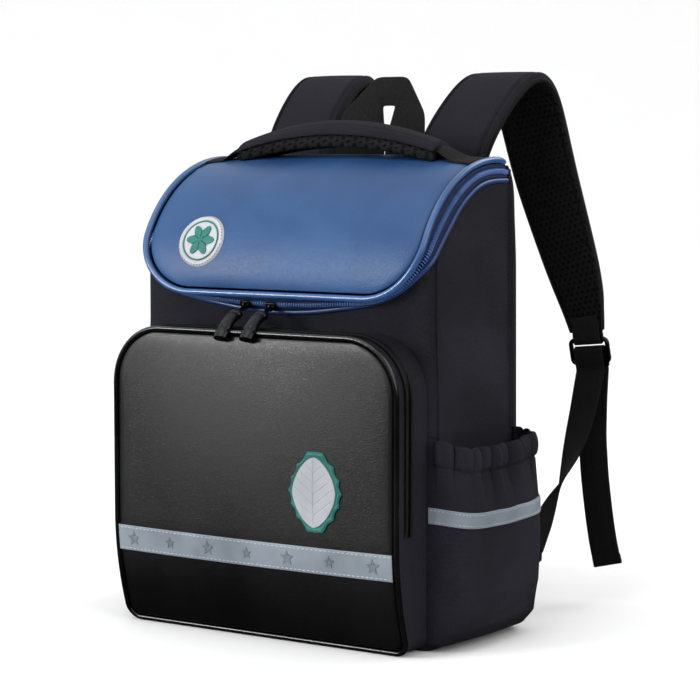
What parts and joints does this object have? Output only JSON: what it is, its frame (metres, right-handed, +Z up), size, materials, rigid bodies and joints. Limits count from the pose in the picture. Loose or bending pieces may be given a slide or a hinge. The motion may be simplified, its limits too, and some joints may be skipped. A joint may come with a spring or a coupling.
{
  "type": "school backpack",
  "caption": "Upright child's school backpack with a zipped hood lid, zipped front pocket, gathered side pockets, grab handle, hang loop and padded shoulder straps.",
  "frame": {"origin": "middle of the bag's flat base, which stands on the floor", "axes": "+Z up, +Y towards the wearer's back, +X to the right of the bag seen from its front"},
  "size_m": [0.3608, 0.3208, 0.4695],
  "materials": {
    "oxford_cloth": "matt woven oxford cloth",
    "spacer_mesh": "matt spacer mesh over foam",
    "black_webbing": "ribbed webbing",
    "blue_leather": "satin coated leather cloth",
    "black_leather": "satin coated leather cloth",
    "blue_tape": "woven zip tape",
    "reflective": "smooth reflective band",
    "black_plastic": "moulded plastic",
    "silver_rubber": "soft moulded rubber",
    "teal_rubber": "soft moulded rubber"
  },
  "bodies": {
    "root": {"main_shell": "oxford_cloth", "back_yoke": "oxford_cloth", "pocket_gusset": "oxford_cloth", "side_pocket_left": "oxford_cloth", "side_pocket_right": "oxford_cloth", "handle_pad": "oxford_cloth", "strap_left": "oxford_cloth", "strap_right": "oxford_cloth", "anchor_left": "oxford_cloth", "anchor_right": "oxford_cloth", "back_panel": "spacer_mesh", "handle_lining": "spacer_mesh", "strap_lining_left": "spacer_mesh", "strap_lining_right": "spacer_mesh", "pocket_zip": "black_webbing", "handle_tab_left": "black_webbing", "handle_tab_right": "black_webbing", "hang_loop": "black_webbing", "buckle_tab_left": "black_webbing", "buckle_tab_right": "black_webbing", "webbing_left": "black_webbing", "webbing_right": "black_webbing", "lid_panel": "blue_leather", "lid_piping": "blue_leather", "rim_piping": "blue_leather", "pocket_panel": "black_leather", "zip_tape_lower": "blue_tape", "zip_tape_upper": "blue_tape", "zip_chain": "blue_tape", "front_strip": "reflective", "side_strip_left": "reflective", "side_strip_right": "reflective", "lid_slider_left": "black_plastic", "lid_slider_right": "black_plastic", "lid_pull_left": "black_plastic", "lid_pull_right": "black_plastic", "pocket_piping": "black_plastic", "pocket_slider": "black_plastic", "buckle_left": "black_plastic", "buckle_right": "black_plastic", "badge_disc": "silver_rubber", "patch_leaf": "silver_rubber", "badge_flower": "teal_rubber", "patch_base": "teal_rubber"}
  },
  "joints": []
}
